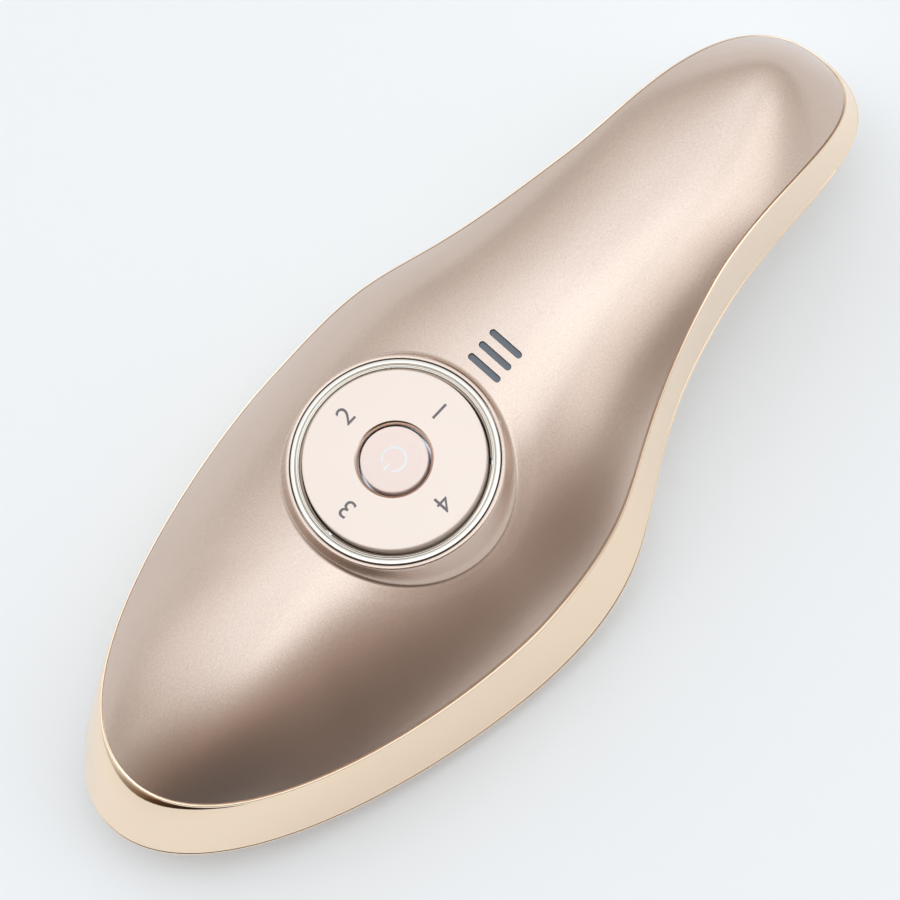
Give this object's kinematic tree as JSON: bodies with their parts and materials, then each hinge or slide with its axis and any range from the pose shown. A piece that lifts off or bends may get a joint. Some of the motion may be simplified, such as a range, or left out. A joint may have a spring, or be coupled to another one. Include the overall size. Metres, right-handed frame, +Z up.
{
  "type": "facial toning device",
  "caption": "Leaf-shaped handheld facial toning device with satin cover, polished side band, rocking round mode pad with power button, and an electrode treatment head underneath.",
  "frame": {"origin": "centre of the flat treatment face, on the axis of the mode pad", "axes": "+X to the tail of the handle, +Z up from the treatment face to the mode pad"},
  "size_m": [0.2021, 0.0828, 0.045],
  "materials": {
    "cover_satin": "satin metallic paint",
    "band_polished": "polished rose gold plating",
    "base_pearl": "pearl gloss",
    "insulator_white": "gloss",
    "electrode_metal": "polished",
    "cooling_aluminium": "fine turned",
    "ceramic": "ceramic",
    "sink_aluminium": "anodised",
    "seal_rubber": "matt",
    "bezel_metal": "polished champagne silver",
    "pad_satin": "satin",
    "gimbal_steel": "machined",
    "frame_plastic": "matt",
    "plunger_plastic": "matt",
    "button_translucent": "translucent satin",
    "switch_plastic": "matt",
    "board_green": "solder mask",
    "screw_steel": "plated",
    "lens_smoked": "smoked",
    "led_lens": "clear",
    "cell_foil": "foil"
  },
  "bodies": {
    "shell": {"top_cover": "cover_satin", "side_band": "band_polished", "base": "base_pearl", "case_screws": "screw_steel", "head_seal": "seal_rubber", "head_insulator": "insulator_white", "inner_electrode": "electrode_metal", "outer_electrode": "electrode_metal", "cooling_plate": "cooling_aluminium", "peltier_module": "ceramic", "heat_sink": "sink_aluminium", "bezel_ring": "bezel_metal", "mode_frame": "frame_plastic", "switch_bodies": "switch_plastic", "switch_board": "board_green", "small_screws": "screw_steel", "indicator_lens": "lens_smoked", "indicator_board": "board_green", "indicator_leds": "led_lens", "battery_tray": "frame_plastic", "battery": "cell_foil", "main_board": "board_green", "charge_socket": "switch_plastic"},
    "gimbal": {"gimbal_ring": "gimbal_steel"},
    "pad": {"mode_pad": "pad_satin"},
    "button": {"power_button": "button_translucent"},
    "stem": {"power_stem": "plunger_plastic"},
    "plunger_front": {"plunger_front": "plunger_plastic"},
    "plunger_rear": {"plunger_rear": "plunger_plastic"},
    "plunger_left": {"plunger_left": "plunger_plastic"},
    "plunger_right": {"plunger_right": "plunger_plastic"}
  },
  "joints": [
    {"name": "pad_tilt_long", "type": "hinge", "parent": "shell", "child": "gimbal", "pos_m": [0, 0, 0.0398], "axis": [0, 1, 0], "range_deg": [-2.5, 2.5], "stiffness_Nm_per_rad": 0.6},
    {"name": "pad_tilt_side", "type": "hinge", "parent": "gimbal", "child": "pad", "pos_m": [0, 0, 0.0398], "axis": [1, 0, 0], "range_deg": [-2.5, 2.5], "stiffness_Nm_per_rad": 0.6},
    {"name": "power_press", "type": "slide", "parent": "shell", "child": "button", "axis": [0, 0, -1], "range_m": [0, 0.0008], "stiffness_N_per_m": 800},
    {"name": "power_stem_press", "type": "slide", "parent": "shell", "child": "stem", "axis": [0, 0, -1], "range_m": [0, 0.0008]},
    {"name": "plunger_front_slide", "type": "slide", "parent": "shell", "child": "plunger_front", "axis": [0, 0, 1], "range_m": [-0.0006, 0.0006]},
    {"name": "plunger_rear_slide", "type": "slide", "parent": "shell", "child": "plunger_rear", "axis": [0, 0, 1], "range_m": [-0.0006, 0.0006]},
    {"name": "plunger_left_slide", "type": "slide", "parent": "shell", "child": "plunger_left", "axis": [0, 0, 1], "range_m": [-0.0006, 0.0006]},
    {"name": "plunger_right_slide", "type": "slide", "parent": "shell", "child": "plunger_right", "axis": [0, 0, 1], "range_m": [-0.0006, 0.0006]}
  ],
  "couplings": [
    {"joint": "power_stem_press", "follows": "power_press", "ratio": 1},
    {"joint": "plunger_front_slide", "follows": "pad_tilt_long", "m_per_rad": 0.013},
    {"joint": "plunger_rear_slide", "follows": "pad_tilt_long", "m_per_rad": -0.013},
    {"joint": "plunger_left_slide", "follows": "pad_tilt_side", "m_per_rad": 0.013},
    {"joint": "plunger_right_slide", "follows": "pad_tilt_side", "m_per_rad": -0.013}
  ]
}
